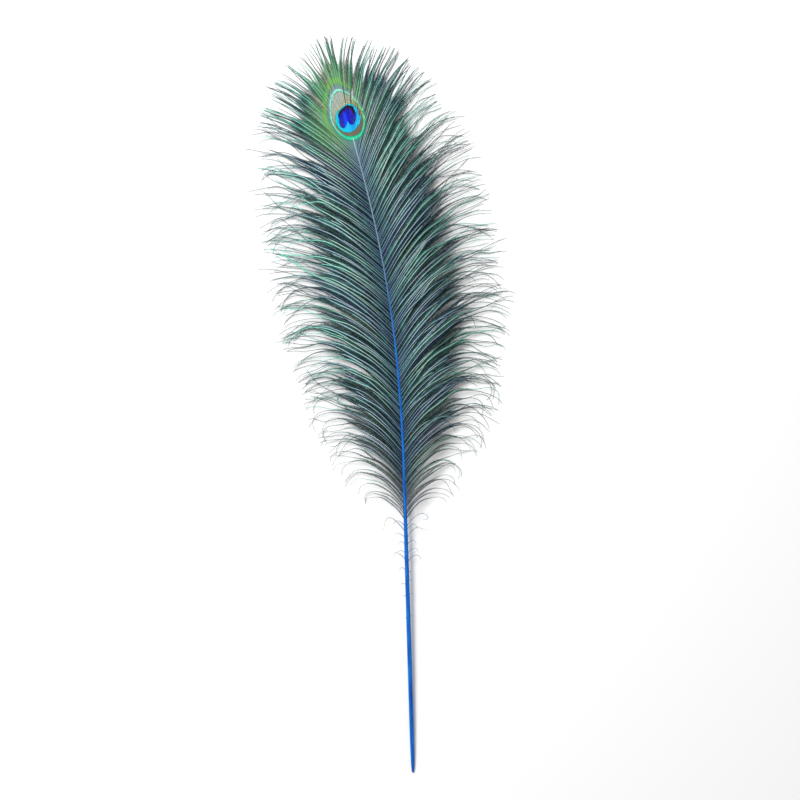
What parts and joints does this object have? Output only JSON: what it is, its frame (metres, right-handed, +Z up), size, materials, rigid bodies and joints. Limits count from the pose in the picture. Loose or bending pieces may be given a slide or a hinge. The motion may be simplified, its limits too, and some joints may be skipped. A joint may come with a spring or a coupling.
{
  "type": "peacock feather",
  "caption": "Long tail feather lying face up: bare round stem, loose feathery vane on both sides, and an egg-shaped eye near the tip with barbs fanning out beyond it.",
  "frame": {"origin": "centre of the feather's outline on the surface that it lies on", "axes": "+Y from the quill towards the eye, +Z up from the surface through the face that shows the eye, +X to the right seen from above"},
  "size_m": [0.2682, 0.818, 0.0158],
  "materials": {
    "feather": "silky, iridescent teal barbs on a dyed blue shaft"
  },
  "bodies": {
    "root": {"feather": "feather"}
  },
  "joints": []
}
